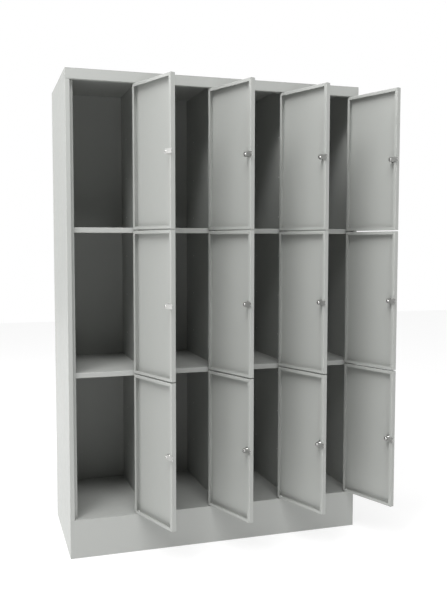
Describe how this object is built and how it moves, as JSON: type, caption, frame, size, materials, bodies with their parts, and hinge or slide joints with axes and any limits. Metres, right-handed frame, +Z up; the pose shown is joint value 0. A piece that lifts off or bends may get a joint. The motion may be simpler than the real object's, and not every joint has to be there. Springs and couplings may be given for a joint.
{
  "type": "coin operated locker",
  "caption": "Tall steel locker cabinet with columns of stacked compartments over a closed plinth, each with a right-hung pan door on pivot pins and a quarter-turn cam lock.",
  "frame": {"origin": "floor level at mid-width on the front plane, on the front edge of the plinth's foot flange", "axes": "+X to the right seen from the front, +Y from the front to the back, +Z up"},
  "size_m": [1.2634, 0.7406, 1.85],
  "materials": {
    "body_paint": "satin powder coat, light grey",
    "door_paint": "satin powder coat, light grey",
    "lock_nickel": "nickel-plated",
    "cam_nickel": "zinc-plated, bright",
    "zinc_steel": "zinc-plated"
  },
  "bodies": {
    "cabinet": {"side_left": "body_paint", "side_right": "body_paint", "partition_1": "body_paint", "partition_2": "body_paint", "partition_3": "body_paint", "back_panel": "body_paint", "top_panel": "body_paint", "head_rail": "body_paint", "floor_panel": "body_paint", "plinth_front": "body_paint", "shelf_r1c1": "body_paint", "shelf_r1c2": "body_paint", "shelf_r1c3": "body_paint", "shelf_r1c4": "body_paint", "shelf_r2c1": "body_paint", "shelf_r2c2": "body_paint", "shelf_r2c3": "body_paint", "shelf_r2c4": "body_paint", "hinge_pins": "zinc_steel", "rivets": "zinc_steel"},
    "leaf_r1c1": {"door_r1c1": "door_paint", "lock_r1c1": "lock_nickel"},
    "catch_r1c1": {"cam_r1c1": "cam_nickel"},
    "leaf_r1c2": {"door_r1c2": "door_paint", "lock_r1c2": "lock_nickel"},
    "catch_r1c2": {"cam_r1c2": "cam_nickel"},
    "leaf_r1c3": {"door_r1c3": "door_paint", "lock_r1c3": "lock_nickel"},
    "catch_r1c3": {"cam_r1c3": "cam_nickel"},
    "leaf_r1c4": {"door_r1c4": "door_paint", "lock_r1c4": "lock_nickel"},
    "catch_r1c4": {"cam_r1c4": "cam_nickel"},
    "leaf_r2c1": {"door_r2c1": "door_paint", "lock_r2c1": "lock_nickel"},
    "catch_r2c1": {"cam_r2c1": "cam_nickel"},
    "leaf_r2c2": {"door_r2c2": "door_paint", "lock_r2c2": "lock_nickel"},
    "catch_r2c2": {"cam_r2c2": "cam_nickel"},
    "leaf_r2c3": {"door_r2c3": "door_paint", "lock_r2c3": "lock_nickel"},
    "catch_r2c3": {"cam_r2c3": "cam_nickel"},
    "leaf_r2c4": {"door_r2c4": "door_paint", "lock_r2c4": "lock_nickel"},
    "catch_r2c4": {"cam_r2c4": "cam_nickel"},
    "leaf_r3c1": {"door_r3c1": "door_paint", "lock_r3c1": "lock_nickel"},
    "catch_r3c1": {"cam_r3c1": "cam_nickel"},
    "leaf_r3c2": {"door_r3c2": "door_paint", "lock_r3c2": "lock_nickel"},
    "catch_r3c2": {"cam_r3c2": "cam_nickel"},
    "leaf_r3c3": {"door_r3c3": "door_paint", "lock_r3c3": "lock_nickel"},
    "catch_r3c3": {"cam_r3c3": "cam_nickel"},
    "leaf_r3c4": {"door_r3c4": "door_paint", "lock_r3c4": "lock_nickel"},
    "catch_r3c4": {"cam_r3c4": "cam_nickel"}
  },
  "joints": [
    {"name": "hinge_r1c1", "type": "hinge", "parent": "cabinet", "child": "leaf_r1c1", "pos_m": [-0.332, 0.007, 1.53333], "axis": [0, 0, 1], "range_deg": [-110.5, 7.5]},
    {"name": "key_r1c1", "type": "hinge", "parent": "leaf_r1c1", "child": "catch_r1c1", "pos_m": [-0.24875, -0.19568, 1.53333], "axis": [0.9367, 0.3502, 0], "range_deg": [0, 90]},
    {"name": "hinge_r1c2", "type": "hinge", "parent": "cabinet", "child": "leaf_r1c2", "pos_m": [-0.031, 0.007, 1.53333], "axis": [0, 0, 1], "range_deg": [-110.5, 7.5]},
    {"name": "key_r1c2", "type": "hinge", "parent": "leaf_r1c2", "child": "catch_r1c2", "pos_m": [0.05225, -0.19568, 1.53333], "axis": [0.9367, 0.3502, 0], "range_deg": [0, 90]},
    {"name": "hinge_r1c3", "type": "hinge", "parent": "cabinet", "child": "leaf_r1c3", "pos_m": [0.27, 0.007, 1.53333], "axis": [0, 0, 1], "range_deg": [-110.5, 7.5]},
    {"name": "key_r1c3", "type": "hinge", "parent": "leaf_r1c3", "child": "catch_r1c3", "pos_m": [0.35325, -0.19568, 1.53333], "axis": [0.9367, 0.3502, 0], "range_deg": [0, 90]},
    {"name": "hinge_r1c4", "type": "hinge", "parent": "cabinet", "child": "leaf_r1c4", "pos_m": [0.571, 0.007, 1.53333], "axis": [0, 0, 1], "range_deg": [-110.5, 7.5]},
    {"name": "key_r1c4", "type": "hinge", "parent": "leaf_r1c4", "child": "catch_r1c4", "pos_m": [0.65425, -0.19568, 1.53333], "axis": [0.9367, 0.3502, 0], "range_deg": [0, 90]},
    {"name": "hinge_r2c1", "type": "hinge", "parent": "cabinet", "child": "leaf_r2c1", "pos_m": [-0.332, 0.007, 0.98], "axis": [0, 0, 1], "range_deg": [-110.5, 7.5]},
    {"name": "key_r2c1", "type": "hinge", "parent": "leaf_r2c1", "child": "catch_r2c1", "pos_m": [-0.24875, -0.19568, 0.98], "axis": [0.9367, 0.3502, 0], "range_deg": [0, 90]},
    {"name": "hinge_r2c2", "type": "hinge", "parent": "cabinet", "child": "leaf_r2c2", "pos_m": [-0.031, 0.007, 0.98], "axis": [0, 0, 1], "range_deg": [-110.5, 7.5]},
    {"name": "key_r2c2", "type": "hinge", "parent": "leaf_r2c2", "child": "catch_r2c2", "pos_m": [0.05225, -0.19568, 0.98], "axis": [0.9367, 0.3502, 0], "range_deg": [0, 90]},
    {"name": "hinge_r2c3", "type": "hinge", "parent": "cabinet", "child": "leaf_r2c3", "pos_m": [0.27, 0.007, 0.98], "axis": [0, 0, 1], "range_deg": [-110.5, 7.5]},
    {"name": "key_r2c3", "type": "hinge", "parent": "leaf_r2c3", "child": "catch_r2c3", "pos_m": [0.35325, -0.19568, 0.98], "axis": [0.9367, 0.3502, 0], "range_deg": [0, 90]},
    {"name": "hinge_r2c4", "type": "hinge", "parent": "cabinet", "child": "leaf_r2c4", "pos_m": [0.571, 0.007, 0.98], "axis": [0, 0, 1], "range_deg": [-110.5, 7.5]},
    {"name": "key_r2c4", "type": "hinge", "parent": "leaf_r2c4", "child": "catch_r2c4", "pos_m": [0.65425, -0.19568, 0.98], "axis": [0.9367, 0.3502, 0], "range_deg": [0, 90]},
    {"name": "hinge_r3c1", "type": "hinge", "parent": "cabinet", "child": "leaf_r3c1", "pos_m": [-0.332, 0.007, 0.42667], "axis": [0, 0, 1], "range_deg": [-110.5, 7.5]},
    {"name": "key_r3c1", "type": "hinge", "parent": "leaf_r3c1", "child": "catch_r3c1", "pos_m": [-0.24875, -0.19568, 0.42667], "axis": [0.9367, 0.3502, 0], "range_deg": [0, 90]},
    {"name": "hinge_r3c2", "type": "hinge", "parent": "cabinet", "child": "leaf_r3c2", "pos_m": [-0.031, 0.007, 0.42667], "axis": [0, 0, 1], "range_deg": [-110.5, 7.5]},
    {"name": "key_r3c2", "type": "hinge", "parent": "leaf_r3c2", "child": "catch_r3c2", "pos_m": [0.05225, -0.19568, 0.42667], "axis": [0.9367, 0.3502, 0], "range_deg": [0, 90]},
    {"name": "hinge_r3c3", "type": "hinge", "parent": "cabinet", "child": "leaf_r3c3", "pos_m": [0.27, 0.007, 0.42667], "axis": [0, 0, 1], "range_deg": [-110.5, 7.5]},
    {"name": "key_r3c3", "type": "hinge", "parent": "leaf_r3c3", "child": "catch_r3c3", "pos_m": [0.35325, -0.19568, 0.42667], "axis": [0.9367, 0.3502, 0], "range_deg": [0, 90]},
    {"name": "hinge_r3c4", "type": "hinge", "parent": "cabinet", "child": "leaf_r3c4", "pos_m": [0.571, 0.007, 0.42667], "axis": [0, 0, 1], "range_deg": [-110.5, 7.5]},
    {"name": "key_r3c4", "type": "hinge", "parent": "leaf_r3c4", "child": "catch_r3c4", "pos_m": [0.65425, -0.19568, 0.42667], "axis": [0.9367, 0.3502, 0], "range_deg": [0, 90]}
  ]
}
